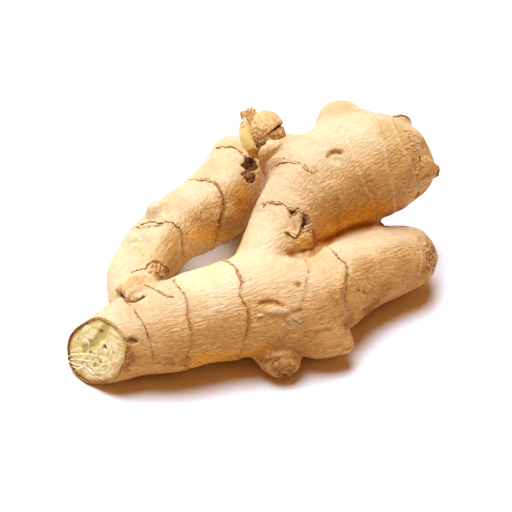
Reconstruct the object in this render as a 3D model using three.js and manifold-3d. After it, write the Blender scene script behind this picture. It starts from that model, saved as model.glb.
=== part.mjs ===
// A ginger root: one rhizome that grew as one piece, lying on a table.
// Its limbs are round, tapering fingers round bent centre lines. They run into each other in smooth
// saddles, and leaf scars ring them. One end is a flat knife cut, a stub at the front has a dished scar,
// and a bud wrapped in scales stands on the upper lobe.
// Millimetres, +Z up. The origin is the middle of the root's footprint, on the surface it lies on.
import * as THREE from 'three';
import { MarchingCubes } from 'three/addons/objects/MarchingCubes.js';
import { mergeVertices } from 'three/addons/utils/BufferGeometryUtils.js';
import Module from 'manifold-3d';

const wasm = await Module();
wasm.setup();

// The limbs. A station is [x, y, z, radius] on a limb's centre line, from its root to its tip.
// saddle is how far its skin flares out into the limb that it grows from, and rings holds the
// distances along it, from its root, at which a leaf scar goes round it.
const LIMBS = [
  {
    name: 'front hand',
    stations: [
      [-78, -52.5, 11.5, 9.5], [-68, -47.5, 12, 11.2], [-59, -43.5, 12.8, 12.7], [-48, -38.5, 14.8, 15],
      [-31, -35, 18, 17.5], [-16, -29.5, 19, 18.5], [1.5, -26, 19.5, 19], [19, -22, 18.5, 18.5],
      [32.5, -10, 16.8, 16.5], [48, 1.5, 16.1, 16], [59.5, 5, 15.8, 13.5], [66.5, 7, 15, 7.5],
    ],
    saddle: 8,
    rings: [44, 56, 76, 101, 113, 130, 146, 153],
  },
  {
    name: 'lower bulge',
    stations: [[16, -32, 18, 10], [25, -34, 12, 9.5]],
    saddle: 6,
    rings: [],
  },
  {
    name: 'bulge nose',
    stations: [[28.5, -35, 11.5, 6.5], [33.5, -37.5, 10.8, 4]],
    saddle: 4,
    rings: [],
  },
  {
    name: 'right bulge',
    stations: [[26, -21, 18, 10], [35, -20, 16, 8.5]],
    saddle: 5,
    rings: [],
  },
  {
    name: 'stub',
    stations: [[3.5, -34.5, 12, 9], [7, -39.5, 9, 9], [9.5, -43, 7.8, 7.5]],
    saddle: 3,
    rings: [],
  },
  {
    name: 'upper lobe',
    stations: [
      [0, -22, 22, 13], [8, -2, 28, 14], [14.5, 11, 33, 16.8], [27, 24, 38.5, 20.5],
      [40, 31, 41.3, 22.8], [50, 32.5, 42.5, 20.3], [57.5, 32.5, 41.5, 15.5], [62.5, 31.5, 41, 10],
    ],
    saddle: 10,
    rings: [35, 55, 74, 83, 91],
  },
  {
    name: 'belly of the lobe',
    stations: [[20, 8, 27, 13], [31, 15, 29, 13.5], [39, 18, 30.5, 12.5]],
    saddle: 6,
    rings: [],
  },
  {
    name: 'far corner of the lobe',
    stations: [[54, 41, 46, 9.5], [59.5, 45.5, 48.5, 6]],
    saddle: 6,
    rings: [],
  },
  {
    name: 'left shoulder of the lobe',
    stations: [[20, 25, 42, 11.5], [12, 34, 44, 10.5]],
    saddle: 6,
    rings: [],
  },
  {
    name: 'top knob of the lobe',
    stations: [[39.5, 41.5, 46, 12.5], [35.5, 50, 50, 10.5]],
    saddle: 8,
    rings: [],
  },
  {
    name: 'nose of the lobe',
    stations: [[66.5, 30.5, 40.5, 4.5], [71, 30.5, 41, 1.8]],
    saddle: 3,
    rings: [],
  },
  {
    name: 'stalk of the bud',
    stations: [[12, 30, 43, 6], [6, 33, 49, 6]],
    saddle: 2,
    rings: [],
  },
  {
    name: 'left finger',
    stations: [
      [-41, -30.5, 15, 11.5], [-48, -9.5, 14, 11.5], [-45, 5, 14, 12.5], [-35, 23, 14.6, 13.7],
      [-17, 40, 16, 16], [-10, 56, 17, 14.5], [-10, 70, 18, 10],
    ],
    saddle: 5,
    rings: [28, 49, 79, 101],
  },
];

// The knife cut: a point on its face, the face's outward normal, and a box that is sure to clear the end.
const CUT = { at: [-62.5, -44.5, 12.5], normal: [-0.6, -0.7, 0.39], box: 60 };

// The stub's dished scar: a ball that is scooped out of its end.
const DISH = { at: [12.8, -56, 7.5], radius: 8, sides: 14 };

// The buds on the upper lobe. Each has its foot, the way that it points, and the scales that wrap it, from
// the outermost in. A scale is a cup of height and of foot, middle and lip radii, lifted along the bud and
// leaning by degrees.
const BUDS = [
  {
    foot: [5, 33, 47.5],
    way: [-0.37, 0.6, 0.7],
    sides: 15,
    lip: 1,
    scales: [
      { lift: -1, height: 8, radii: [6.5, 9, 9.2], lean: 6 },
      { lift: 3, height: 9.5, radii: [7, 8.8, 7.8], lean: -6 },
      { lift: 8, height: 9, radii: [6, 7, 5.4], lean: 6 },
      { lift: 13, height: 8, radii: [4.5, 4.4, 3.2], lean: -8 },
    ],
  },
  {
    foot: [-0.5, 32.5, 44.5],
    way: [-0.24, 0.71, 0.66],
    sides: 10,
    lip: 0.8,
    scales: [{ lift: 0, height: 18, radii: [2.5, 4, 1.8], lean: 0 }],
  },
];

const RING_LIP = 1.3; // how far the skin stands out just before a leaf scar
const RING_REACH = 7; // over what length it swells to that lip
const RING_DROP = 2.5; // over what length it falls back behind the scar
const LUMP = 0.6; // the skin's broad unevenness
const LUMP_WAVE = 26; // the distance over which that unevenness repeats
const SPREAD = 30; // along a limb, how far from its root the saddle fades out
const TIGHT = 1.5; // the fillet that is left past there

const HALF = 104; // half the side of the cube of space in which the skin is traced
const CELLS = 64; // cells along each side of that cube
const MIDDLE = new THREE.Vector3(0, 8, 32); // the middle of that cube
const SETTLE = 0.06; // no grid point is nearer to the skin than this, so no face is a sliver
const SAMPLES = 6; // points on a centre line for each station

// A limb's centre line as a chain of points with radii and lengths from its root.
function chainOf(limb) {
  const centre = new THREE.CatmullRomCurve3(limb.stations.map((s) => new THREE.Vector3(s[0], s[1], s[2])));
  const girth = new THREE.CatmullRomCurve3(limb.stations.map((s) => new THREE.Vector3(s[3], 0, 0)));
  const steps = (limb.stations.length - 1) * SAMPLES;
  const chain = [];
  let length = 0;
  for (let i = 0; i <= steps; i++) {
    const point = centre.getPoint(i / steps);
    if (i) length += point.distanceTo(chain[i - 1].point);
    chain.push({ point, radius: girth.getPoint(i / steps).x, length });
  }
  return chain;
}

// How far the skin stands out at a distance past the nearest leaf scar: it swells up to the scar and drops
// behind it.
function ringRelief(rings, along) {
  let relief = 0;
  for (const ring of rings) {
    const off = along < ring ? (ring - along) / RING_REACH : (along - ring) / RING_DROP;
    if (off < 1) relief += RING_LIP * (1 - off) ** 2;
  }
  return relief;
}

// The skin's broad unevenness at a point.
function lump(p) {
  const k = (2 * Math.PI) / LUMP_WAVE;
  return LUMP * Math.sin(k * p.x + 1) * Math.sin(k * p.y + 2) * Math.sin(k * p.z + 0.5);
}

const nearest = new THREE.Vector3();
const span = new THREE.Vector3();
const gap = new THREE.Vector3();

// The distance from a point to a limb's skin, negative inside, and how far along the limb it is.
function distanceToLimb(limb, p) {
  let best = Infinity;
  let along = 0;
  for (let i = 1; i < limb.chain.length; i++) {
    const a = limb.chain[i - 1];
    const b = limb.chain[i];
    span.subVectors(b.point, a.point);
    gap.subVectors(p, a.point);
    const share = THREE.MathUtils.clamp(gap.dot(span) / span.lengthSq(), 0, 1);
    nearest.copy(a.point).addScaledVector(span, share);
    const distance = p.distanceTo(nearest) - THREE.MathUtils.lerp(a.radius, b.radius, share);
    if (distance < best) {
      best = distance;
      along = THREE.MathUtils.lerp(a.length, b.length, share);
    }
  }
  return { distance: best - ringRelief(limb.rings, along), along };
}

// The smaller of two distances, rounded off where they are within a fillet of each other.
function smoothMin(a, b, fillet) {
  const overlap = Math.max(fillet - Math.abs(a - b), 0) / fillet;
  return Math.min(a, b) - (overlap * overlap * fillet) / 4;
}

// The distance from a point to the whole root's skin, negative inside.
function distanceToRoot(p) {
  let distance = Infinity;
  for (const limb of LIMBS) {
    const own = distanceToLimb(limb, p);
    const fillet = Math.max(TIGHT, limb.saddle * (1 - own.along / SPREAD));
    distance = distance === Infinity ? own.distance : smoothMin(distance, own.distance, fillet);
  }
  return distance - lump(p);
}

// The skin as a closed geometry: three.js's marching cubes over a field of distances.
function skinGeometry() {
  const tracer = new MarchingCubes(CELLS, new THREE.MeshStandardMaterial(), false, false, 20000);
  tracer.isolation = 0;
  const cell = (2 * HALF) / CELLS;
  const p = new THREE.Vector3();
  for (let k = 0, q = 0; k < CELLS; k++) {
    for (let j = 0; j < CELLS; j++) {
      for (let i = 0; i < CELLS; i++, q++) {
        p.set(i, j, k).multiplyScalar(cell).addScalar(-HALF).add(MIDDLE);
        const inside = -distanceToRoot(p);
        const least = SETTLE * cell;
        tracer.field[q] = Math.abs(inside) < least ? least * (inside < 0 ? -1 : 1) : inside;
      }
    }
  }
  tracer.update();
  const traced = tracer.geometry.getAttribute('position').array.slice(0, tracer.count * 3);
  const skin = new THREE.BufferGeometry().setAttribute('position', new THREE.BufferAttribute(traced, 3));
  return skin.scale(HALF, HALF, HALF).translate(MIDDLE.x, MIDDLE.y, MIDDLE.z);
}

function solidOf(geometry) {
  const bare = geometry.index ? geometry.toNonIndexed() : geometry.clone();
  bare.deleteAttribute('normal');
  bare.deleteAttribute('uv');
  const merged = mergeVertices(bare, 1e-3);
  const mesh = new wasm.Mesh({
    numProp: 3,
    vertProperties: merged.getAttribute('position').array,
    triVerts: new Uint32Array(merged.index.array),
  });
  return new wasm.Manifold(mesh);
}

function geometryOf(solid) {
  const { vertProperties, triVerts } = solid.getMesh();
  const geometry = new THREE.BufferGeometry();
  geometry.setAttribute('position', new THREE.BufferAttribute(vertProperties, 3));
  geometry.setIndex(new THREE.BufferAttribute(triVerts, 1));
  geometry.computeVertexNormals();
  return geometry;
}

// A box whose near face stands at the knife cut and whose bulk is what the knife takes away.
function knifeBox() {
  const normal = new THREE.Vector3(...CUT.normal).normalize();
  const box = new THREE.BoxGeometry(CUT.box, CUT.box, CUT.box).translate(0, 0, CUT.box / 2);
  box.applyQuaternion(new THREE.Quaternion().setFromUnitVectors(new THREE.Vector3(0, 0, 1), normal));
  return box.translate(...CUT.at);
}

// Everything under the surface that the root lies on, so that its low spots are flat.
function floorBox() {
  const side = 3 * HALF;
  return new THREE.BoxGeometry(side, side, side).translate(0, 0, -side / 2);
}

// One scale of a bud: a turned cup that is solid up to a thin lip.
function scaleGeometry(bud, scale) {
  const [foot, middle, lip] = scale.radii;
  const inner = lip - bud.lip;
  const floor = scale.height - bud.lip;
  const outline = [
    [0, 0], [foot, 0.5], [middle, scale.height / 2], [lip, scale.height], [inner, scale.height],
    [inner * 0.8, floor], [0, floor],
  ];
  const cup = new THREE.LatheGeometry(outline.map(([r, h]) => new THREE.Vector2(r, h)), bud.sides);
  cup.rotateX(Math.PI / 2).rotateX(THREE.MathUtils.degToRad(scale.lean)).translate(0, 0, scale.lift);
  const way = new THREE.Vector3(...bud.way).normalize();
  cup.applyQuaternion(new THREE.Quaternion().setFromUnitVectors(new THREE.Vector3(0, 0, 1), way));
  return cup.translate(...bud.foot);
}

function dishBall() {
  return new THREE.SphereGeometry(DISH.radius, DISH.sides, DISH.sides / 2).translate(...DISH.at);
}

for (const limb of LIMBS) limb.chain = chainOf(limb);

let rhizome = solidOf(skinGeometry());
for (const bud of BUDS) {
  for (const scale of bud.scales) rhizome = rhizome.add(solidOf(scaleGeometry(bud, scale)));
}
for (const tool of [knifeBox(), dishBall(), floorBox()]) rhizome = rhizome.subtract(solidOf(tool));
const skin = new THREE.MeshStandardMaterial({ color: 0xdcae78, roughness: 0.62, metalness: 0 });
const root = new THREE.Mesh(geometryOf(rhizome), skin);
root.name = 'rhizome';

root.geometry.computeBoundingBox();
const middle = root.geometry.boundingBox.getCenter(new THREE.Vector3());
root.position.set(-middle.x, -middle.y, 0);

const ginger = new THREE.Group();
ginger.add(root);

export default ginger;
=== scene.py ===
"""A fresh ginger root on a pale table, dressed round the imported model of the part.

The skin is one mesh over all the limbs, with its leaf scars, wrinkles, lumps and hollows as real relief. The
knife-cut end with its rind and fibres, the bud, the torn edges of skin, the flakes and the crumbs stand on it.
"""
import math
import random

import bmesh
import bpy
import numpy as np
from mathutils import Matrix, Vector
from mathutils.bvhtree import BVHTree


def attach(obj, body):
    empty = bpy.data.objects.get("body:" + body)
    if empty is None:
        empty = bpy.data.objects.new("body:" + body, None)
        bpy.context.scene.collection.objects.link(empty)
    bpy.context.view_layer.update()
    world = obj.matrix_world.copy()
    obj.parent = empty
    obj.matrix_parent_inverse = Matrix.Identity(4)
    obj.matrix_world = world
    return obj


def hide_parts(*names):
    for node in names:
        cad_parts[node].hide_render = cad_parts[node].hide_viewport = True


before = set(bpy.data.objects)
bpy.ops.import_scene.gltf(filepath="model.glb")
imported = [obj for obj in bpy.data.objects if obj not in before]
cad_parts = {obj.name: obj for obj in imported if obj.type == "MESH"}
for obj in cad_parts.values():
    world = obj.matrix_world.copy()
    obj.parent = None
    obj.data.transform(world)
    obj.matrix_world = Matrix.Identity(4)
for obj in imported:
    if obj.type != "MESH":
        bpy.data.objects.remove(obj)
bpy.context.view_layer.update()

MM = 0.001
TURN = 2 * math.pi
DRAW = random.Random(41)

# The limbs in millimetres, measured from a point on the table. A station is [x, y, z, radius] on a centre line.
# stem names the limb whose length the scars and wrinkles of a bulge follow.
SHIFT = np.array([-0.80, -12.85, 0.0])  # from that point on the table to the middle of the root's footprint
LIMBS = [
    ("front", 8, [[-78, -52.5, 11.5, 9.5], [-68, -47.5, 12, 11.2], [-59, -43.5, 12.8, 12.7],
                  [-48, -38.5, 14.8, 15], [-31, -35, 18, 17.5], [-16, -29.5, 19, 18.5], [1.5, -26, 19.5, 19],
                  [19, -22, 18.5, 18.5],
                  [32.5, -10, 16.8, 16.5], [48, 1.5, 16.1, 16], [59.5, 5, 15.8, 13.5], [66.5, 7, 15, 7.5]]),
    ("front", 6, [[16, -32, 18, 10], [25, -34, 12, 9.5]]),
    ("front", 4, [[28.5, -35, 11.5, 6.5], [33.5, -37.5, 10.8, 4]]),
    ("front", 5, [[26, -21, 18, 10], [35, -20, 16, 8.5]]),
    ("front", 3, [[3.5, -34.5, 12, 9], [7, -39.5, 9, 9], [9.5, -43, 7.8, 7.5]]),
    ("lobe", 7, [[0, -22, 22, 13], [8, -2, 28, 14], [15.3, 11, 33, 16], [27, 24, 38.5, 20.5],
                 [40, 31, 41.3, 22.8], [50, 32.5, 42.5, 20.3], [57.5, 32.5, 41.5, 15.5], [62.5, 31.5, 41, 10]]),
    ("lobe", 1.2, [[20, 8, 27, 13], [31, 15, 29, 13.5], [39, 18, 30.5, 12.5]]),
    ("lobe", 6, [[54, 41, 46, 9.5], [59.5, 45.5, 48.5, 6]]),
    ("lobe", 6, [[20, 25, 42, 11.5], [12, 34, 44, 10.5]]),
    ("lobe", 8, [[39.5, 41.5, 46, 12.5], [35.5, 50, 50, 10.5]]),
    ("lobe", 3, [[66.5, 30.5, 40.5, 4.5], [71, 30.5, 41, 1.8]]),
    ("lobe", 2, [[12, 30, 43, 6], [6, 33, 49, 6]]),
    ("left", 5, [[-41, -30.5, 15, 11.5], [-48, -9.5, 14, 11.5], [-45, 5, 14, 12.5], [-35, 23, 14.6, 13.7],
                 [-17, 40, 16, 16], [-10, 56, 17, 14.5], [-10, 70, 18, 10]]),
]
STEMS = ("front", "lobe", "left")
SAMPLES = 5  # steps of a centre line for each station
SHARED = 1.2  # over what distance two steps of a centre line both count for how far along it a point is
SPREAD, TIGHT = 30, 1.5  # along a limb, where its saddle has faded out, and the fillet that is left there
CREASE, SHARPNESS = (5, 12), 0.85  # where, along x, the neck's saddle turns into a crease, and how sharply
LUMP, LUMP_WAVE = 0.6, 26  # the skin's broad unevenness, and how far apart it repeats
CUT_AT, CUT_WAY = Vector((-63.3, -57.35, 12.5)), Vector((-0.6, -0.7, 0.39)).normalized()
DISH_AT, DISH_RADIUS = np.array([12.0, -68.85, 7.5]), 8
VOXEL = 1.62  # the grid on which the skin is first traced; it is split once after that

# The camera of the photograph: what it looks at, from where, and its picture's size in pixels.
TARGET = Vector((-0.80, -12.85, 22.0))
ELEVATION, DISTANCE = math.radians(42), 512.0
LENS, SENSOR, PICTURE = 90.0, 36.0, 512
FORWARD = Vector((0, math.cos(ELEVATION), -math.sin(ELEVATION)))
UPWARD = Vector((0, math.sin(ELEVATION), math.cos(ELEVATION)))
EYE = TARGET - FORWARD * DISTANCE


def bent_line(points, share):
    """The point at a share of the way along a centripetal Catmull-Rom curve."""
    last = len(points) - 1
    i = min(int(share * last), last - 1)
    t = share * last - i
    b, c = points[i], points[i + 1]
    a = points[i - 1] if i else 2 * b - c
    d = points[i + 2] if i + 2 <= last else 2 * c - b
    mid = np.linalg.norm(c - b) ** 0.5 or 1.0
    before = np.linalg.norm(b - a) ** 0.5 or mid
    after = np.linalg.norm(d - c) ** 0.5 or mid
    leave = ((b - a) / before - (c - a) / (before + mid) + (c - b) / mid) * mid
    reach = ((c - b) / mid - (d - b) / (mid + after) + (d - c) / after) * mid
    return b + leave * t + (3 * (c - b) - 2 * leave - reach) * t**2 + (2 * (b - c) + leave + reach) * t**3


class Limb:
    """A limb's centre line as a chain of points with radii, and lengths from its root, in millimetres."""

    def __init__(self, stem, saddle, stations):
        self.stem, self.saddle = stem, saddle
        rows = np.array(stations, float)
        steps = (len(rows) - 1) * SAMPLES
        shares = np.arange(steps + 1) / steps
        self.centre = np.array([bent_line(rows[:, :3], s) for s in shares]) + SHIFT
        self.girth = np.array([bent_line(rows[:, 3:], s)[0] for s in shares])
        self.length = np.r_[0, np.cumsum(np.linalg.norm(np.diff(self.centre, axis=0), axis=1))]
        margin = self.girth.max() + 14
        self.low, self.high = self.centre.min(0) - margin, self.centre.max(0) + margin

    def measure(self, points):
        """Each point's distance to the limb's skin, and how far along the limb it is."""
        near = ((points > self.low) & (points < self.high)).all(1)
        inside = points[near]
        best, along, weight = np.full(len(inside), np.inf), np.zeros(len(inside)), np.zeros(len(inside))
        for i in range(len(self.length) - 1):
            start, span = self.centre[i], self.centre[i + 1] - self.centre[i]
            share = np.clip((inside - start) @ span / (span @ span), 0, 1)
            away = np.linalg.norm(inside - start - share[:, None] * span, axis=1)
            gap = away - self.girth[i] - share * (self.girth[i + 1] - self.girth[i])
            best = np.minimum(best, gap)
            pull = np.exp(-gap / SHARED)
            along += pull * (self.length[i] + share * (self.length[i + 1] - self.length[i]))
            weight += pull
        gaps, alongs = np.full(len(points), 60.0), np.zeros(len(points))
        gaps[near], alongs[near] = best, along / weight
        return gaps, alongs

    def axes(self, along):
        """The centre line's point, and its onward, sideways and upward directions, at lengths along it."""
        centre = np.stack([np.interp(along, self.length, self.centre[:, k]) for k in range(3)], -1)
        slope = np.gradient(self.centre, self.length, axis=0)
        onward = np.stack([np.interp(along, self.length, slope[:, k]) for k in range(3)], -1)
        onward /= np.linalg.norm(onward, axis=-1, keepdims=True)
        side = np.cross(onward, [0, 0, 1.0])
        side /= np.linalg.norm(side, axis=-1, keepdims=True)
        return centre, onward, side, np.cross(side, onward)

    def angle(self, points, along):
        """How far round the limb each point is, from its top towards its right side."""
        centre, _, side, up = self.axes(along)
        off = points - centre
        return np.arctan2((off * side).sum(-1), (off * up).sum(-1))


ALL_LIMBS = [Limb(*spec) for spec in LIMBS]
MAIN = {stem: next(limb for limb in ALL_LIMBS if limb.stem == stem) for stem in STEMS}


def value_noise(points, size, seed):
    """Smooth noise from -1 to 1 at each point, with cells of a size in millimetres, or a size for each axis."""
    draw = np.random.default_rng(seed)
    order, values = draw.permutation(256), draw.uniform(-1, 1, 256)
    place = points / np.asarray(size, float) + draw.uniform(0, 99, 3)
    cell = np.floor(place).astype(int)
    part = place - cell
    part = part * part * (3 - 2 * part)
    total = np.zeros(len(points))
    for corner in np.ndindex(2, 2, 2):
        at = cell + corner
        key = order[(order[(order[at[:, 0] & 255] + at[:, 1]) & 255] + at[:, 2]) & 255]
        total += values[key] * np.where(corner, part, 1 - part).prod(1)
    return total


def rough_noise(points, size, seed, layers=3):
    """Noise with finer layers on it, each half as wide and half as strong."""
    size = np.asarray(size, float)
    parts = [value_noise(points, size / 2**k, seed + k) / 2**k for k in range(layers)]
    return sum(parts) / sum(0.5**k for k in range(layers))


def fade(x, start, end):
    """A smooth step that is 0 at start and 1 at end."""
    t = np.clip((np.asarray(x, float) - start) / (end - start), 0, 1)
    return t * t * (3 - 2 * t)


def smooth_min(a, b, fillet):
    """The lesser of two distances, with a fillet where they are nearly equal."""
    overlap = np.maximum(fillet - np.abs(a - b), 0) / fillet
    return np.minimum(a, b) - overlap * overlap * fillet / 4


def skin_gap(points):
    """The distance from each point to the bare skin, negative inside."""
    gap = None
    for limb in ALL_LIMBS:
        own, along = limb.measure(points)
        fillet = np.maximum(TIGHT, limb.saddle * (1 - along / SPREAD))
        if limb is MAIN["lobe"]:
            fillet = fillet * (1 - SHARPNESS * fade(points[:, 0], *CREASE))
        gap = own if gap is None else smooth_min(gap, own, fillet)
    wave = points - SHIFT
    k = TURN / LUMP_WAVE
    gap = gap - LUMP * np.prod(np.sin(k * wave + [1, 2, 0.5]), axis=1)
    return np.maximum(gap, DISH_RADIUS - np.linalg.norm(points - DISH_AT, axis=1))


def points_of(mesh, what="co"):
    """A mesh's vertex positions in millimetres, or its vertex normals."""
    flat = np.empty(len(mesh.vertices) * 3, np.float32)
    source = mesh.vertices if what == "co" else mesh.vertex_normals
    source.foreach_get("co" if what == "co" else "vector", flat)
    return flat.reshape(-1, 3).astype(float) / (MM if what == "co" else 1)


def move_points(mesh, points):
    mesh.vertices.foreach_set("co", (points * MM).astype(np.float32).ravel())
    mesh.update()


def link(mesh, name):
    """A new object at the origin for a mesh, in the scene."""
    piece = bpy.data.objects.new(name, mesh)
    bpy.context.scene.collection.objects.link(piece)
    return piece


def mesh_of(bm, name):
    mesh = bpy.data.meshes.new(name)
    bm.to_mesh(mesh)
    bm.free()
    return mesh


def applied(piece):
    """The piece with its modifiers baked into its mesh."""
    made = bpy.data.meshes.new_from_object(piece.evaluated_get(bpy.context.evaluated_depsgraph_get()))
    piece.modifiers.clear()
    old, piece.data = piece.data, made
    bpy.data.meshes.remove(old)
    return piece


def dress(piece, finish):
    """Gives a finished piece its material and its body."""
    piece.data.materials.clear()
    piece.data.materials.append(finish)
    piece.data.shade_smooth()
    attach(piece, "root")
    return piece


def grown_skin():
    """The bare skin: balls strung along every limb, traced as one skin and pulled onto the limbs' girth."""
    bm = bmesh.new()
    for limb in ALL_LIMBS:
        for centre, radius in zip(limb.centre, limb.girth):
            bmesh.ops.create_icosphere(bm, subdivisions=3, radius=radius * MM,
                                       matrix=Matrix.Translation(Vector(centre) * MM))
    piece = link(mesh_of(bm, "skin"), "skin")
    tracer = piece.modifiers.new("trace", "REMESH")
    tracer.mode = "VOXEL"
    tracer.voxel_size = VOXEL * MM
    applied(piece)
    settle(piece.data, 3)
    bm = bmesh.new()
    bm.from_mesh(piece.data)
    bmesh.ops.subdivide_edges(bm, edges=bm.edges, cuts=1, use_grid_fill=True)
    for _ in range(2):
        bmesh.ops.smooth_vert(bm, verts=bm.verts, factor=0.5, use_axis_x=True, use_axis_y=True, use_axis_z=True)
    bm.to_mesh(piece.data)
    bm.free()
    settle(piece.data, 2)
    return piece


def settle(mesh, times):
    """Pulls a mesh's points onto the bare skin."""
    for _ in range(times):
        points = points_of(mesh)
        gap = np.clip(skin_gap(points), -3, 3)
        move_points(mesh, points - gap[:, None] * points_of(mesh, "normal"))


def sight(px, py):
    """The direction in which the camera sees a pixel of its picture."""
    focal = PICTURE * LENS / SENSOR
    return (FORWARD * focal + Vector((px - PICTURE / 2, 0, 0)) + UPWARD * (PICTURE / 2 - py)).normalized()


def seen(tree, px, py):
    """The point of the skin that a pixel shows, in millimetres, and the skin's normal there."""
    at, normal, _, _ = tree.ray_cast(EYE * MM, sight(px, py))
    return (None, None) if at is None else (np.array(at) / MM, np.array(normal))


def picture_axes(normal):
    """The directions along the skin that run to the right and down in the picture."""
    right = np.cross(UPWARD, normal)
    right /= np.linalg.norm(right)
    return right, np.cross(normal, right)


def trace(tree, pixels):
    """The points of the skin under a line of pixels, without those that miss it."""
    found = [seen(tree, *pixel)[0] for pixel in pixels]
    return np.array([at for at in found if at is not None])


def tree_of(mesh):
    bm = bmesh.new()
    bm.from_mesh(mesh)
    tree = BVHTree.FromBMesh(bm)
    bm.free()
    return tree


# Leaf scars: the stem, the pixels that each passes, how far its lip stands out, how dark and how ragged it is.
SCARS = [
    ("front", [(107, 298), (121, 295), (127, 301), (133, 308), (139, 316), (145, 325), (150, 338), (152, 352)],
     0.25, 0.38, 0.3),
    ("front", [(177, 286), (184, 293), (188, 303), (186, 315), (190, 324), (192, 334), (188, 350), (184, 360)],
     0.6, 0.55, 0.9),
    ("front", [(209, 260), (221, 260), (226, 261), (232, 264), (236, 269), (238, 275), (241, 281), (239, 290),
               (242, 299), (247, 307), (248, 315), (248, 326), (244, 340), (238, 356)], 0.8, 0.68, 0.9),
    ("front", [(305, 259), (310, 268), (309, 273), (306, 278), (305, 290), (300, 305)], 0.25, 0.36, 0.4),
    ("front", [(332, 250), (338, 257), (346, 263), (347, 270), (345, 277), (343, 287), (342, 298)],
     0.9, 0.65, 1.1),
    ("front", [(378, 225), (389, 233), (397, 242), (405, 251), (408, 261), (408, 272), (404, 284)],
     0.5, 0.2, 0.3),
    ("front", [(408, 227), (414, 236), (420, 247), (422, 260), (418, 275)], 0.45, 0.25, 0.4),
    ("lobe", [(262, 205), (271, 201), (281, 203), (289, 208), (299, 211), (307, 220), (310, 232)],
     0.9, 0.9, 1.0),
    ("lobe", [(270, 166), (279, 160), (290, 161), (302, 165), (313, 173), (326, 183), (333, 191), (338, 201),
              (338, 219), (336, 230)], 0.55, 0.45, 0.4),
    ("lobe", [(343, 132), (355, 160), (362, 184), (367, 190), (371, 199), (374, 207), (374, 214)],
     0.35, 0.15, 0.2),
    ("lobe", [(368, 112), (380, 135), (386, 156), (388, 172), (393, 189), (393, 202), (395, 210), (394, 217)],
     0.5, 0.2, 0.2),
    ("lobe", [(385, 114), (391, 123), (396, 135), (401, 148), (407, 158), (412, 168), (416, 184)],
     0.5, 0.2, 0.3),
    ("left", [(141, 224), (152, 222), (160, 223), (167, 221), (174, 224), (179, 228), (181, 234), (180, 240),
              (181, 248)], 0.6, 0.9, 0.8),
    ("left", [(195, 180), (202, 180), (211, 181), (217, 185), (221, 191), (224, 200), (222, 208), (219, 220),
              (217, 228), (214, 240)], 0.7, 1.0, 0.8),
    ("left", [(216, 149), (223, 147), (231, 147), (237, 149), (242, 154), (248, 159)], 0.4, 0.7, 0.5),
]
ROUND = 96  # places round a limb at which a scar's course is held
PALE_SCAR, PALE_STRENGTH = 0.35, -0.7  # below what darkness a scar is a pale line, and how strong that line is
LIP_BEHIND, LIP_AHEAD = 5.5, 1.1  # how far the swelling at a scar reaches before and past it along the limb
NOTCH_AT, NOTCH_WIDE, NOTCH_DEEP = 0.9, 0.55, 0.6  # the groove past a scar, its depth as a share of the lip


class Scar:
    """A leaf scar's course round its limb, closed over the side that the photograph doesn't show."""

    def __init__(self, tree, stem, pixels, lip, dark, ragged):
        self.limb, self.stem, self.lip, self.dark, self.ragged = MAIN[stem], stem, lip, dark, ragged
        points = trace(tree, pixels)
        _, along = self.limb.measure(points)
        angle = self.limb.angle(points, along)
        order = np.argsort(angle)
        self.angles = (np.arange(ROUND) + 0.5) / ROUND * TURN - math.pi
        course = np.interp(self.angles, angle[order], along[order], period=TURN)
        for _ in range(3):
            course = (np.roll(course, 1) + course + np.roll(course, -1)) / 3
        self.course = course
        off = np.abs((self.angles[:, None] - angle + math.pi) % TURN - math.pi).min(1)
        self.left = 1 - 0.75 * fade(off, 0.1, 0.6)

    def at(self, angle):
        return np.interp(angle, self.angles, self.course, period=TURN)

    def worn(self, angle):
        """How much of it is left, which is less on the side that isn't shown."""
        return np.interp(angle, self.angles, self.left, period=TURN)

    def wander(self, angle):
        """How far its ragged edge strays from its course."""
        place = np.stack([15 * np.cos(angle), 15 * np.sin(angle), np.full(np.shape(angle), self.course[0])], -1)
        return self.ragged * (0.55 * value_noise(place, 4.5, 51) + 0.45 * value_noise(place, 1.7, 52))

    def slope(self, angle, radius):
        """How far the scar runs along the limb for each millimetre round it."""
        return (self.at(angle + 0.05) - self.at(angle - 0.05)) / (0.1 * np.maximum(radius, 4))


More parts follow.
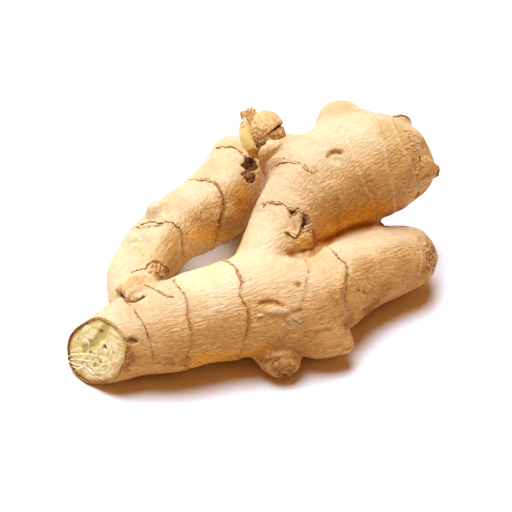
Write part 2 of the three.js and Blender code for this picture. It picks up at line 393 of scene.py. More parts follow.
# Hollows, bumps and patches, some of them painted shade or highlight: the pixel at the middle, the reach across
# and down in millimetres, how far the skin is lifted there, and the tones laid on it.
SPOTS = [
    ((417, 128), (1.4, 1.4), -0.4, {"bark": 0.7}),
    ((420, 159), (1.2, 1.2), -0.4, {"bark": 0.8}),
    ((418, 196), (2.0, 1.8), -0.5, {"bark": 0.9}),
    # Painted highlight: the pale lower rim of the dimple; the amber crescent over it is painted shade.
    ((335, 161), (2.8, 1.6), -0.5, {"pale": 1.0}),
    ((335, 153), (2.8, 1.4), -0.5, {"stain_and_shade": 0.6}),
    ((278, 310), (7.0, 1.5), 1.0, {"pale": 0.7}),
    ((156, 270), (5.5, 4.0), 1.6, {"bark": 0.35, "stain_and_shade": 0.5}),
    ((140, 284), (7.0, 4.5), 1.8, {"stain_and_shade": 0.6, "bark": 0.25}),
    ((158, 284), (6.0, 3.5), 0.8, {"stain_and_shade": 0.4, "bark": 0.2}),
    ((252, 160), (4.0, 2.0), -1.4, {"dark": 1.4, "bark": 1.0}),
    ((248, 176), (2.6, 2.0), -0.3, {"bark": 1.0}),
    ((156, 208), (4.6, 4.2), 2.6, {}),
    ((270, 158), (6.0, 7.0), 2.0, {}),
    ((277, 143), (5.0, 4.0), 1.3, {}),
    ((144, 228), (9.0, 9.0), -2.4, {}),
    ((293, 213), (1.8, 1.6), -1.0, {"dark": 0.8, "bark": 0.9}),
    ((304, 223), (1.5, 2.8), -1.0, {"dark": 0.8, "bark": 0.9}),
    ((310, 231), (2.6, 2.6), 0.3, {"bark": 0.6}),
    ((298, 284), (1.7, 1.0), -0.4, {"stain_and_shade": 1.0, "bark": 0.5}),
    ((292, 323), (4.6, 2.6), 0.3, {"pale": 0.3, "bark": 0.2}),
    ((365, 266), (6.0, 5.0), -0.3, {"stain_and_shade": 0.55}),
    ((386, 290), (4.0, 4.5), 0.0, {"stain_and_shade": 0.8}),
    ((334, 300), (4.5, 3.5), 0.0, {"bark": 0.35, "stain_and_shade": 0.4}),
    ((405, 174), (4.0, 4.0), 0.2, {"stain_and_shade": 0.5}),
    ((434, 249), (3.0, 2.0), -0.5, {"bark": 0.9}),
    ((431, 258), (2.0, 3.0), -0.5, {"stain_and_shade": 1.0, "bark": 0.5}),
    ((422, 274), (5.0, 5.0), 0.0, {"stain_and_shade": 0.6}),
    ((175, 362), (9.0, 3.2), 0.0, {"bark": 0.4, "stain_and_shade": 0.7}),
    ((127, 354), (4.0, 6.0), 0.3, {"bark": 0.6}),
    ((132, 341), (2.6, 1.2), -0.9, {"dark": 0.6, "stain_and_shade": 0.8}),
    ((225, 242), (2.0, 2.0), 0.5, {"bark": 0.9, "dark": 0.3}),
    ((430, 169), (5.5, 5.0), 1.4, {"stain_and_shade": 0.3}),
    ((434, 170), (2.8, 2.8), 1.5, {"bark": 1.0, "dark": 0.5}),
    ((428, 151), (4.5, 4.5), -1.0, {}),
    ((425, 188), (4.5, 4.5), -1.0, {}),
    ((424, 240), (3.5, 2.0), -0.3, {"bark": 0.5}),
    ((435, 266), (2.4, 4.0), -0.3, {"bark": 0.7}),
    ((427, 281), (3.0, 2.0), 0.0, {"bark": 0.6}),
    ((410, 286), (3.0, 1.5), 0.0, {"bark": 0.5}),
    ((410, 115), (2.4, 1.8), 0.6, {"bark": 0.9}),
    ((402, 119), (5.0, 4.0), 1.8, {}),
    ((404, 117), (3.4, 1.5), 0.3, {"bark": 1.0, "dark": 0.5}),
    ((415, 127), (3.4, 3.4), 0.3, {"bark": 0.8}),
    ((281, 367), (7.0, 4.5), 0.0, {"bark": 0.5}),
    ((270, 320), (4.0, 3.0), 0.0, {"stain_and_shade": 0.2}),
    ((371, 309), (5.5, 5.5), -2.6, {"stain_and_shade": 0.3}),
    ((364, 314), (4.0, 4.0), -1.6, {}),
    ((302, 244), (6.0, 4.2), 2.4, {"stain_and_shade": 0.35}),
    ((417, 150), (6.0, 17.0), 0.0, {"bark": 0.34}),
    ((432, 258), (4.5, 9.0), 0.0, {"bark": 0.5}),
    # Painted shade: a warm orange on the skin turned from the light, at the left finger's right side, in the
    # gap, at the neck's corner and low on the front.
    ((243, 203), (6.0, 14.0), 0.0, {"glow": 0.9}),
    ((212, 235), (13.0, 5.0), 0.0, {"glow": 0.8}),
    ((304, 246), (5.0, 4.0), 0.0, {"glow": 0.9}),
    ((262, 352), (4.0, 4.0), 0.0, {"glow": 0.8}),
    ((132, 244), (10.0, 8.0), -2.2, {}),
    ((348, 322), (3.0, 3.0), -1.2, {}),
    ((225, 133), (1.5, 1.5), 0.9, {"stain_and_shade": 0.4}),
    ((400, 140), (9.0, 14.0), 0.0, {"olive": 0.7}),
    ((380, 195), (9.0, 12.0), 0.0, {"olive": 0.45}),
    ((345, 110), (9.0, 5.0), 0.0, {"stain_and_shade": 0.35}),
]

# Folds, cracks, the edges of skin layers and bands of painted shade: the pixels, the width in millimetres, how
# far the line is lifted, and the tones laid on it.
LINES = [
    ([(261, 303), (268, 302), (276, 303), (285, 308), (293, 311), (301, 311)], 1.0, -0.8,
     {"stain_and_shade": 0.9, "bark": 0.3}),
    ([(260, 365), (264, 357), (272, 350), (280, 341), (288, 331)], 0.8, 0.6, {"bark": 0.4, "stain_and_shade": 0.5}),
    ([(294, 342), (303, 340), (318, 329), (330, 326)], 0.9, 0.4, {"stain_and_shade": 0.5}),
    ([(242, 282), (247, 280), (251, 279)], 0.6, -0.3, {"bark": 0.7}),
    ([(154, 288), (159, 292), (164, 296), (173, 296)], 0.7, -0.3, {"bark": 0.6}),
    ([(257, 357), (262, 361), (272, 360), (284, 358), (296, 358)], 1.0, -0.8, {"stain_and_shade": 0.6, "bark": 0.3}),
    ([(235, 229), (242, 226), (248, 221)], 0.9, -0.5, {"stain_and_shade": 0.6}),
    ([(266, 249), (270, 251), (276, 252)], 0.8, 0.3, {"bark": 0.2}),
    # Painted shade: the dimple's crescent on the lobe.
    ([(328, 157), (331, 153), (336, 151), (341, 153)], 0.9, -1.1, {"stain_and_shade": 0.9}),
    ([(121, 295), (126, 299), (132, 300), (139, 299), (144, 295)], 1.0, -2.0, {"dark": 0.9, "bark": 0.9}),
    ([(121, 289), (127, 293), (135, 294), (143, 290)], 2.0, 1.9, {"stain_and_shade": 0.7, "bark": 0.2}),
    ([(357, 290), (363, 292), (369, 295)], 0.7, -0.3, {"bark": 0.6}),
    ([(313, 174), (316, 171), (318, 169)], 0.5, -0.2, {"bark": 0.6}),
    ([(124, 345), (127, 352), (128, 360), (126, 368)], 3.2, 0.25, {"bark": 0.45}),
    ([(126, 343), (131, 350), (133, 357), (132, 364)], 0.5, 0.35, {"bark": 0.5}),
    # Painted shade: the warm orange under the lobe and along the front's underside.
    ([(322, 236), (335, 228), (350, 221), (365, 217), (380, 213)], 7.0, 0.0, {"glow": 1.1}),
    ([(190, 362), (205, 359), (220, 357), (235, 356), (247, 357)], 5.0, 0.0, {"glow": 1.0}),
    ([(427, 246), (433, 249), (440, 250)], 0.8, -0.4, {"bark": 0.9, "dark": 0.4}),
    ([(148, 263), (155, 261), (163, 266), (168, 270)], 0.8, 0.4, {"bark": 0.8}),
    ([(245, 165), (250, 163), (255, 161), (258, 156)], 1.9, -1.5, {"dark": 1.6, "bark": 1.0}),
    ([(248, 168), (253, 167), (257, 165)], 1.7, -1.6, {"dark": 1.6, "bark": 1.0}),
    ([(265, 145), (261, 150), (259, 158)], 1.2, -0.3, {"dark": 0.9, "bark": 1.0}),
    ([(243, 174), (248, 172), (254, 175), (253, 181), (248, 181)], 1.0, -0.5, {"dark": 1.0, "bark": 1.0}),
]
# Clefts where one limb lies against another: the pixels, the width and the depth in millimetres.
CLEFTS = [
    ([(388, 221), (380, 222), (367, 225), (352, 229), (340, 234), (328, 241), (318, 248), (310, 254),
      (302, 256), (293, 254), (284, 251), (277, 248)], 1.5, 1.9),
]
# The tones laid on the skin: stain_and_shade is amber staining, and painted shade in clefts, grooves and
# hollows; glow is painted shade, a warm orange in deep shade; dark is dead tissue, and painted shade in
# cavities and slots; pale is also a painted highlight on the dimple's lower rim.
TONES = ("bark", "stain_and_shade", "pale", "dark", "olive", "glow")
SPOT_DEPTH = 5  # how far below or above its middle a spot still works on the skin
# This way lies near the light: skin turned from it gets deeper wrinkles and painted shade in its colour.
LIGHT_FACING = np.array([-0.45, 0.35, 0.82])  # skin that faces this way is the smoothest


def distance_to_line(points, line):
    """Each point's distance to a broken line on the skin."""
    best = np.full(len(points), 60.0)
    for start, end in zip(line[:-1], line[1:]):
        span = end - start
        share = np.clip((points - start) @ span / (span @ span + 1e-9), 0, 1)
        best = np.minimum(best, np.linalg.norm(points - start - share[:, None] * span, axis=1))
    return best


def shares_of(points):
    """How much each point of the skin belongs to each stem, and its length along and angle round that stem."""
    gaps = {stem: np.full(len(points), 60.0) for stem in STEMS}
    for limb in ALL_LIMBS:
        own, _ = limb.measure(points)
        gaps[limb.stem] = np.minimum(gaps[limb.stem], own)
    nearness = np.stack([np.exp(-np.clip(gaps[stem] - 0.5, 0, 40) / 1.6) for stem in STEMS], -1)
    shares = nearness / nearness.sum(1, keepdims=True)
    courses = {}
    for stem in STEMS:
        limb = MAIN[stem]
        _, along = limb.measure(points)
        courses[stem] = (along, limb.angle(points, along))
    return shares, courses


def wrinkles(points, along, angle, limb):
    """Fine folds that run along a limb, as relief from -1 to 1."""
    centre, _, side, up = limb.axes(along)
    off = points - centre
    grain = np.stack([along, (off * side).sum(1), (off * up).sum(1)], -1)
    bend = 1.2 * np.stack([np.zeros(len(points)), value_noise(points, 9, 71), value_noise(points, 9, 72)], -1)
    broad = 1 - 2 * np.abs(rough_noise(grain + bend, (10, 2.6, 2.6), 31, 2))
    narrow = 1 - 2 * np.abs(value_noise(grain + bend, (6, 1.5, 1.5), 35))
    across = value_noise(grain, (2.2, 7, 7), 38)
    return 0.55 * broad + 0.35 * narrow + 0.25 * across


def lay_tones(tones, laid, body):
    """Lays tones on the skin where a body from 0 to 1 says, without thinning those that are there."""
    for name, much in laid.items():
        tones[name] = np.maximum(tones[name], much * body)


def carve_scars(points, shares, courses, scars, lift, tones):
    """Raises the scars' lips and cuts their grooves.

    Returns how far each point is past the nearest scar, and that scar's strength, negative where it is pale.
    """
    nearest, strength = np.full(len(points), 9.0), np.zeros(len(points))
    patchy = 0.7 + 0.5 * value_noise(points, 7, 53)
    for scar in scars:
        along, angle = courses[scar.stem]
        radius = np.interp(along, scar.limb.length, scar.limb.girth)
        off = (along - scar.at(angle) - scar.wander(angle)) / np.sqrt(1 + scar.slope(angle, radius) ** 2)
        own = fade(shares[:, STEMS.index(scar.stem)], 0.35, 0.8) * scar.worn(angle)
        swell = np.clip(1 - np.where(off < 0, -off / LIP_BEHIND, off / LIP_AHEAD), 0, 1) ** 2
        notch = np.exp(-((off - NOTCH_AT) / NOTCH_WIDE) ** 2)
        lift += own * scar.lip * patchy * (swell - NOTCH_DEEP * notch)
        closer = (np.abs(off) < np.abs(nearest)) & (own > 0.2)
        nearest[closer] = off[closer]
        strength[closer] = (own * (scar.dark if scar.dark > PALE_SCAR else PALE_STRENGTH))[closer]
        lay_tones(tones, {"stain_and_shade": 0.35 * scar.dark}, own * np.exp(-(off / 1.4) ** 2))
    return nearest, strength


def carve_spots(points, tree, lift, tones):
    """Lifts or sinks the skin at each spot, and lays the spot's tones there."""
    stray = 0.22 * rough_noise(points, 2.4, 61, 2)
    for pixel, reach, height, laid in SPOTS:
        at, normal = seen(tree, *pixel)
        if at is None:
            continue
        right, down = picture_axes(normal)
        off = points - at
        near = [off @ right / reach[0], off @ down / reach[1], off @ normal / SPOT_DEPTH]
        body = 1 - fade(np.linalg.norm(near, axis=0) + stray, 0.5, 1.25)
        lift += height * body
        lay_tones(tones, laid, body)


def carve_lines(points, tree, lift, tones):
    """Lifts or sinks the skin along each fold or crack, and lays the line's tones there."""
    stray = 0.35 * value_noise(points, 1.6, 63)
    for pixels, width, height, laid in LINES:
        near = distance_to_line(points, trace(tree, pixels)) / width + stray
        body = 1 - fade(near, 0.3, 1.3)
        lift += height * body
        lay_tones(tones, laid, body)


def carve_clefts(points, tree, lift, tones):
    """Deepens the creases where limbs lie against each other, less so near their ends, and paints amber shade
    along them.
    """
    for pixels, width, depth in CLEFTS:
        line = trace(tree, pixels)
        ends = np.minimum(np.linalg.norm(points - line[0], axis=1), np.linalg.norm(points - line[-1], axis=1))
        body = np.exp(-((distance_to_line(points, line) / width) ** 2)) * fade(ends, 0, 9)
        lift -= depth * body
        lay_tones(tones, {"stain_and_shade": 1.0}, body)


def carve_stub(points, lift, tones):
    """Roughens and browns the dished scar where a shoot broke off the stub."""
    body = 1 - fade(np.linalg.norm(points - DISH_AT, axis=1), DISH_RADIUS - 0.3, DISH_RADIUS + 0.9)
    lift += 0.8 * body * (1 - 2 * np.abs(rough_noise(points, (4.5, 4.5, 1.3), 77, 2)))
    lay_tones(tones, {"bark": 0.75}, body)


def relieve(piece, tree, scars):
    """Carves the scars, spots, lines and wrinkles into the skin, and leaves its tones as attributes."""
    mesh = piece.data
    points, normals = points_of(mesh), points_of(mesh, "normal")
    shares, courses = shares_of(points)
    tones = {tone: np.zeros(len(points)) for tone in TONES}
    lift = 0.45 * rough_noise(points, 11, 3, 2) + 0.16 * rough_noise(points, 3.2, 8, 2)
    past_scar, strength = carve_scars(points, shares, courses, scars, lift, tones)
    carve_spots(points, tree, lift, tones)
    carve_lines(points, tree, lift, tones)
    carve_clefts(points, tree, lift, tones)
    folds = sum(shares[:, k] * wrinkles(points, *courses[stem], MAIN[stem]) for k, stem in enumerate(STEMS))
    # How far the skin turns from the light: it sets the wrinkles' depth and where shade is painted into the
    # skin's colour.
    turned_from_light = fade(-normals @ LIGHT_FACING, -0.75, 0.1)
    lift += folds * (0.045 + 0.115 * turned_from_light)
    # The painted glow is kept to the skin turned from the light.
    tones["glow"] *= fade(turned_from_light, 0.2, 1.0)
    carve_stub(points, lift, tones)

    moved = points + lift[:, None] * normals
    moved[:, 2] = np.maximum(moved[:, 2], 0.02)
    move_points(mesh, moved)
    keep(mesh, "scar", np.clip(past_scar, -9, 9))
    keep(mesh, "scar_dark", strength)
    keep(mesh, "turned_from_light", turned_from_light)
    for tone in TONES:
        keep(mesh, tone, tones[tone])
    stems = mesh.attributes.new("stems", "FLOAT_VECTOR", "POINT")
    stems.data.foreach_set("vector", shares.astype(np.float32).ravel())


def keep(mesh, name, values):
    """Stores a number for each vertex, for the finishes to read."""
    mesh.attributes.new(name, "FLOAT", "POINT").data.foreach_set("value", values.astype(np.float32))


class Finish:
    """A material put together node by node. Sizes are in millimetres."""

    def __init__(self, name, roughness=0.6, gloss=0.4):
        self.material = bpy.data.materials.new(name)
        self.material.use_nodes = True
        self.tree = self.material.node_tree
        self.surface = self.tree.nodes["Principled BSDF"]
        self.surface.inputs["Roughness"].default_value = roughness
        self.surface.inputs["Specular IOR Level"].default_value = gloss
        self.place = self.add("TexCoord").outputs["Object"]

    def add(self, kind, feeds=None, **settings):
        node = self.tree.nodes.new("ShaderNode" + kind)
        for key, value in settings.items():
            setattr(node, key, value)
        for key, value in (feeds or {}).items():
            if isinstance(value, bpy.types.NodeSocket):
                self.tree.links.new(value, node.inputs[key])
            else:
                node.inputs[key].default_value = value
        return node

    def noise(self, size, detail=2.0, rough=0.5, place=None, twist=0.0):
        feeds = {"Vector": place or self.place, "Scale": 1 / (size * MM), "Detail": detail, "Roughness": rough,
                 "Distortion": twist}
        return self.add("TexNoise", feeds).outputs["Fac"]

    def cells(self, size):
        return self.add("TexVoronoi", {"Vector": self.place, "Scale": 1 / (size * MM)}).outputs["Distance"]

    def drawn(self, angle, stretch):
        """Object coordinates turned about the upright and drawn out along one direction."""
        feeds = {"Vector": self.place, "Rotation": (0, 0, angle), "Scale": (stretch, 1, 1)}
        return self.add("Mapping", feeds, vector_type="TEXTURE").outputs["Vector"]

    def value(self, name):
        return self.add("Attribute", attribute_name=name).outputs["Fac"]

    def math(self, how, a, b=0.0, clamp=False):
        return self.add("Math", {0: a, 1: b}, operation=how, use_clamp=clamp).outputs[0]

    def times(self, a, b):
        return self.math("MULTIPLY", a, b)

    def plus(self, *parts):
        """The sum of numbers."""
        total = parts[0]
        for part in parts[1:]:
            total = self.math("ADD", total, part)
        return total

    def ramp(self, x, low, high, start=0.0, end=1.0):
        """A smooth step of a number, from start to end."""
        feeds = {"Value": x, "From Min": low, "From Max": high, "To Min": start, "To Max": end}
        return self.add("MapRange", feeds, interpolation_type="SMOOTHSTEP").outputs["Result"]

    def blend(self, share, a, b):
        """A colour that goes from a to b."""
        node = self.add("Mix", data_type="RGBA")
        for key, value in ((0, share), (6, a), (7, b)):
            if isinstance(value, bpy.types.NodeSocket):
                self.tree.links.new(value, node.inputs[key])
            else:
                node.inputs[key].default_value = value if key == 0 else (*value, 1)
        return node.outputs[2]

    def paint(self, colour, socket="Base Color"):
        self.tree.links.new(colour, self.surface.inputs[socket])

    def bump(self, height):
        """Lays a height in millimetres over the surface."""
        node = self.add("Bump", {"Height": height, "Distance": MM, "Strength": 1.0})
        self.tree.links.new(node.outputs["Normal"], self.surface.inputs["Normal"])

    def glow_through(self, weight, depth):
        """Lets a little light travel under the surface."""
        self.surface.inputs["Subsurface Weight"].default_value = weight
        self.surface.inputs["Subsurface Radius"].default_value = (1.0, 0.42, 0.16)
        self.surface.inputs["Subsurface Scale"].default_value = depth * MM


# The colours of the skin, of what is torn, dead or stained on it, and of the painted shade where it turns from
# the light.
CREAM, TAN, OLIVE = (0.78, 0.595, 0.36), (0.73, 0.51, 0.27), (0.60, 0.42, 0.15)
SHADED, PAINTED_GLOW = (0.78, 0.42, 0.095), (0.90, 0.44, 0.035)
HULL, CHAFF = (0.86, 0.66, 0.40), (0.93, 0.79, 0.56)
AMBER, SEAR = (0.58, 0.285, 0.075), (0.46, 0.215, 0.060)
BARK, SOOT = (0.26, 0.115, 0.035), (0.075, 0.028, 0.010)


def skin_creases(f):
    """Fine lengthwise streaks, drawn out along each stem's own direction and mixed by the stems' shares."""
    ways = [f.noise(0.85, 3, 0.6, f.drawn(angle, 4.2), 0.5) for angle in (0.35, 0.75, 1.1)]
    lines = f.add("CombineXYZ", {0: ways[0], 1: ways[1], 2: ways[2]}).outputs[0]
    stems = f.add("Attribute", attribute_name="stems").outputs["Vector"]
    return f.add("VectorMath", {0: lines, 1: stems}, operation="DOT_PRODUCT").outputs["Value"]


def skin_tint(f, fleck):
    """Mottled cream and tan, olive and amber in patches, with painted shade: deeper orange where the skin turns
    from the light, and a warm painted glow in the deepest shade.
    """
    mottle = f.noise(15, 3, 0.5)
    colour = f.blend(f.ramp(mottle, 0.36, 0.68), CREAM, TAN)
    colour = f.blend(f.times(f.value("olive"), f.ramp(mottle, 0.3, 0.7, 0.6, 1.0)), colour, OLIVE)
    colour = f.blend(f.ramp(fleck, 0.58, 0.80, 0, 0.30), colour, AMBER)
    # Painted shade: deeper, more orange colour on the skin turned from the light.
    colour = f.blend(f.times(f.value("turned_from_light"), 0.75), colour, SHADED)
    # Painted shade: a warm glow in the deepest shade.
    return f.blend(f.times(f.value("glow"), 0.75), colour, PAINTED_GLOW)


def skin_marks(f, colour, fleck, crease):
    """Brown and pale streaks, scuffs and flecks, the stained and the pale patches, and painted shade in the
    creases, clefts and hollows.
    """
    # The creases' own darker streaks, and painted shade in their hollows that is strongest on the skin turned
    # from the light.
    crease_streak_and_shade = f.times(f.ramp(crease, 0.48, 0.34, 0.0, 0.46), f.ramp(f.value("turned_from_light"), 0, 1, 0.4, 1))
    scuff = f.ramp(f.noise(0.9, 3, 0.65, f.drawn(0.7, 2.6), 0.8), 0.62, 0.72, 0, 0.32)
    colour = f.blend(crease_streak_and_shade, colour, SEAR)
    colour = f.blend(f.ramp(crease, 0.54, 0.70, 0, 0.20), colour, HULL)
    colour = f.blend(scuff, colour, SEAR)
    colour = f.blend(f.ramp(f.noise(0.75, 2, 0.6), 0.63, 0.73, 0, 0.35), colour, CHAFF)
    # Amber where the skin is stained, and painted shade in the clefts, grooves and hollows.
    colour = f.blend(f.times(f.value("stain_and_shade"), f.ramp(fleck, 0.3, 0.7, 0.45, 1.0)), colour, AMBER)
    return f.blend(f.times(f.value("pale"), 0.8), colour, HULL)


def scar_line(f):
    """A thin broken line along every scar."""
    wander = f.ramp(f.noise(1.0, 3, 0.7), 0.2, 0.8, -0.22, 0.22)
    line = f.ramp(f.math("ABSOLUTE", f.plus(wander, f.value("scar"))), 0.10, 0.40, 1, 0)
    return f.times(line, f.ramp(f.noise(2.4, 3, 0.6), 0.40, 0.58, 0.05, 1))


def skin_finish():
    """Thin tan skin: mottled cream, lengthwise creases, specks, brown scar lines and corky patches."""
    f = Finish("ginger_skin", roughness=0.55, gloss=0.4)
    fleck, grain, crease = f.noise(2.3, 4, 0.6), f.noise(0.55, 3, 0.6), skin_creases(f)
    colour = skin_marks(f, skin_tint(f, fleck), fleck, crease)

    specks = f.ramp(f.cells(3.4), 0.04, 0.09, 1, 0)
    chosen = f.ramp(f.noise(4.1, 1), 0.55, 0.62)
    colour = f.blend(f.times(f.times(specks, chosen), 0.6), colour, BARK)
    corky = f.plus(f.value("bark"), f.ramp(fleck, 0.25, 0.75, -0.38, 0.38))
    corky = f.ramp(corky, 0.32, 0.85)
    rind = f.blend(f.ramp(grain, 0.38, 0.62), BARK, SEAR)
    colour = f.blend(f.times(corky, 0.75), colour, rind)

    line = scar_line(f)
    colour = f.blend(f.times(line, f.math("MULTIPLY", f.value("scar_dark"), -1, True)), colour, HULL)
    dark_line = f.times(line, f.math("MULTIPLY", f.value("scar_dark"), 1, True))
    colour = f.blend(dark_line, colour, f.blend(0.35, BARK, SEAR))
    # Near black where the dark tone lies: dead tissue, and painted shade in the cavities and slots.
    hole = f.ramp(f.plus(f.value("dark"), f.ramp(grain, 0.2, 0.8, -0.25, 0.25)), 0.35, 0.75)
    f.paint(f.blend(hole, colour, f.blend(grain, SOOT, BARK)))
    f.paint(f.ramp(fleck, 0.3, 0.7, 0.42, 0.60), "Roughness")

    folds = f.times(f.ramp(crease, 0.32, 0.64), f.ramp(f.value("turned_from_light"), 0, 1, 0.16, 0.48))
    crust = f.times(f.times(corky, f.cells(1.3)), 0.30)
    f.bump(f.plus(folds, f.times(grain, 0.11), f.times(fleck, 0.20), crust, f.times(dark_line, -0.25),
                  f.times(specks, -0.08)))
    f.glow_through(0.10, 1.6)
    return f.material


LIGHT_WAY = Vector((-0.20, 0.24, 0.95)).normalized()
GAP_FLOOR = Vector((-23.0, 10.5, 0))  # the table in the gap between the left finger and the neck


def floor_finish():
    f = Finish("pale_table", roughness=0.8, gloss=0.2)
    f.paint(f.blend(f.noise(90, 2), (0.93, 0.93, 0.93), (0.95, 0.95, 0.95)))
    return f.material


def table():
    bm = bmesh.new()
    bmesh.ops.create_grid(bm, x_segments=1, y_segments=1, size=3)
    piece = link(mesh_of(bm, "table"), "table")
    piece.data.materials.append(floor_finish())


def lights():
    """Soft light from the upper left and behind, a small lamp for the gap, and a warm glow all round."""
    sun = bpy.data.lights.new("window", "SUN")
    sun.energy, sun.color, sun.angle = 4.6, (0.72, 0.90, 1.10), math.radians(44)
    window = link(sun, "window")
    window.rotation_euler = (-LIGHT_WAY).to_track_quat("-Z", "Y").to_euler()
    lamp = bpy.data.lights.new("gap_lamp", "SPOT")
    lamp.energy, lamp.color, lamp.shadow_soft_size = 7.5, (0.9, 0.95, 1.0), 0.004
    lamp.spot_size, lamp.spot_blend = math.radians(3.1), 1.0
    gap_lamp = link(lamp, "gap_lamp")
    way = (EYE - GAP_FLOOR).normalized()
    gap_lamp.location = GAP_FLOOR * MM + way * 0.6
    gap_lamp.rotation_euler = (-way).to_track_quat("-Z", "Y").to_euler()
    world = bpy.data.worlds.new("glow")
    world.use_nodes = True
    glow = world.node_tree.nodes["Background"]
    glow.inputs["Color"].default_value = (1.0, 0.43, 0.13, 1)
    glow.inputs["Strength"].default_value = 0.36
    bpy.context.scene.world = world
    view = bpy.context.scene.view_settings
    view.view_transform, view.look, view.exposure = "Standard", "High Contrast", -0.30


def camera():
    lens = bpy.data.cameras.new("camera")
    lens.lens, lens.sensor_width = LENS, SENSOR
    lens.clip_start, lens.clip_end = 0.02, 10
    seer = link(lens, "camera")
    seer.matrix_world = Matrix.Translation(EYE * MM) @ FORWARD.to_track_quat("-Z", "Y").to_matrix().to_4x4()
    bpy.context.scene.camera = seer


CUT_RIM, BED = 0.45, 1.1  # the skin's thickness at the cut, and how deep the flesh's bed is
CUT_SIDE = Vector((0.76, -0.65, 0)).normalized()  # across the cut face, towards its right
CUT_UP = CUT_SIDE.cross(CUT_WAY)
# Pits in the flesh: the pixel, the reach and the depth in millimetres. Then the pixels of its olive band.
CUT_PITS = [((101, 331), 1.1, 0.9), ((105, 347), 1.3, 0.9), ((90, 352), 0.7, 0.3), ((100, 362), 0.8, 0.4)]
CUT_BAND = [(107, 326), (103, 334), (99, 340), (92, 344), (84, 350)]


def cut_skin(piece):
    """Cuts the end off the skin, beds the cut, and returns the outline of the flesh in millimetres."""
    bm = bmesh.new()
    bm.from_mesh(piece.data)
    found = bmesh.ops.bisect_plane(bm, geom=bm.verts[:] + bm.edges[:] + bm.faces[:], plane_co=CUT_AT * MM,
                                   plane_no=CUT_WAY, clear_outer=True)
    rim = [part for part in found["geom_cut"] if isinstance(part, bmesh.types.BMEdge)]
    face = bmesh.ops.contextual_create(bm, geom=rim)["faces"][0]
    bmesh.ops.inset_region(bm, faces=[face], thickness=CUT_RIM * MM, use_even_offset=True)
    outline = [vert.co / MM for vert in face.verts]
    bmesh.ops.translate(bm, verts=face.verts, vec=-CUT_WAY * BED * MM)
    bm.to_mesh(piece.data)
    bm.free()
    return outline


def on_cut(px, py, lift=0.0):
    """The point of the cut face that a pixel shows, lifted off it, in millimetres."""
    way = sight(px, py)
    return EYE + way * ((CUT_AT + CUT_WAY * lift - EYE).dot(CUT_WAY) / way.dot(CUT_WAY))


def flesh_block(outline):
    """A thin closed block of flesh that fills the bed of the cut, traced finely."""
    bm = bmesh.new()
    ring = bmesh.ops.create_circle(bm, cap_ends=True, segments=len(outline), radius=1)["verts"]
    for vert, point in zip(ring, outline):
        vert.co = point * MM
    made = bmesh.ops.extrude_face_region(bm, geom=bm.faces[:])
    lower = [part for part in made["geom"] if isinstance(part, bmesh.types.BMVert)]
    bmesh.ops.translate(bm, verts=lower, vec=-CUT_WAY * (BED - 0.1) * MM)
    bmesh.ops.recalc_face_normals(bm, faces=bm.faces)
    piece = link(mesh_of(bm, "cut_face"), "cut_face")
    tracer = piece.modifiers.new("trace", "REMESH")
    tracer.mode = "VOXEL"
    tracer.voxel_size = 0.33 * MM
    return applied(piece)


def cut_face(outline):
    """The flesh in the cut: a moist fibrous disc with a darker core line, pits and knife ridges."""
    piece = flesh_block(outline)
    mesh = piece.data
    points = points_of(mesh)
    way = np.array(CUT_WAY)
    off = points - np.mean([tuple(point) for point in outline], 0)
    flat = np.stack([off @ np.array(CUT_SIDE), off @ np.array(CUT_UP), np.zeros(len(points))], -1)
    edge = np.min([np.linalg.norm(points - np.array(point), axis=1) for point in outline], axis=0)
    core = np.abs(edge - 3.2 - 0.5 * value_noise(flat, 3, 95))
    lift = 0.55 * rough_noise(flat, 4.5, 91, 3) - 0.5 + 0.6 * fade(edge, 0, 3)
    lift += 0.3 * (1 - 2 * np.abs(rough_noise(flat, (6, 1.2, 1), 94, 2)))
    lift -= 0.10 * (1 - fade(core, 0.2, 0.8))
    pit = np.zeros(len(points))
    for pixel, reach, depth in CUT_PITS:
        away = np.linalg.norm(points - np.array(on_cut(*pixel)), axis=1) / reach
        body = 1 - fade(away + 0.3 * value_noise(points, 0.9, 97), 0.4, 1.2)
        lift -= depth * body
        pit = np.maximum(pit, body)
    keep(mesh, "raised", np.clip(0.5 + 0.7 * lift, 0, 1))
    band = distance_to_line(points, np.array([tuple(on_cut(*pixel)) for pixel in CUT_BAND]))
    olive = 1 - fade(band + 0.8 * value_noise(points, 1.7, 98), 0.6, 2.6)
    lift -= 0.8 * olive
    front = fade(off @ way, -0.5, -0.2)
    move_points(mesh, points + (lift * front)[:, None] * way)
    keep(mesh, "core", 1 - fade(core, 0.15, 0.75))
    keep(mesh, "pit", pit)
    keep(mesh, "olive", olive)
    keep(mesh, "edge", edge)
    return dress(piece, flesh_finish())


def cut_lip(outline):
    """The skin's ragged rim round the cut, curled over the flesh in places, most at its upper right."""
    middle = sum(outline, Vector()) / len(outline)

    def place(across, up):
        point = outline[round(across * len(outline)) % len(outline)]
        key = np.array([tuple(point)])
        out = (point - middle).normalized()
        side = 0.5 + 0.5 * out.dot((CUT_SIDE + CUT_UP).normalized())
        ragged = 0.6 + 0.9 * value_noise(key, 4.5, 471)[0] + 0.5 * value_noise(key, 1.2, 472)[0]
        much = max((0.1 + 0.8 * side) * ragged, 0.05)
        if up < 0.25:
            return point + out * 0.25 - CUT_WAY * (BED - 0.3)
        if up < 0.75:
            return point + out * (0.15 + 0.1 * value_noise(key, 2.0, 474)[0]) + CUT_WAY * 0.3 * much
        curl = 0.9 * max(value_noise(key, 6.0, 473)[0] + 0.35, 0) * side
        return point - out * curl * much * 0.8 + CUT_WAY * (0.3 + 0.8 * much)

    piece = thicken(sheet("cut_lip", len(outline), 2, place, closed=True), 0.26)
    return dress(piece, husk_finish("cut_rind", (0.74, 0.50, 0.25), (0.42, 0.20, 0.06), 0.8))


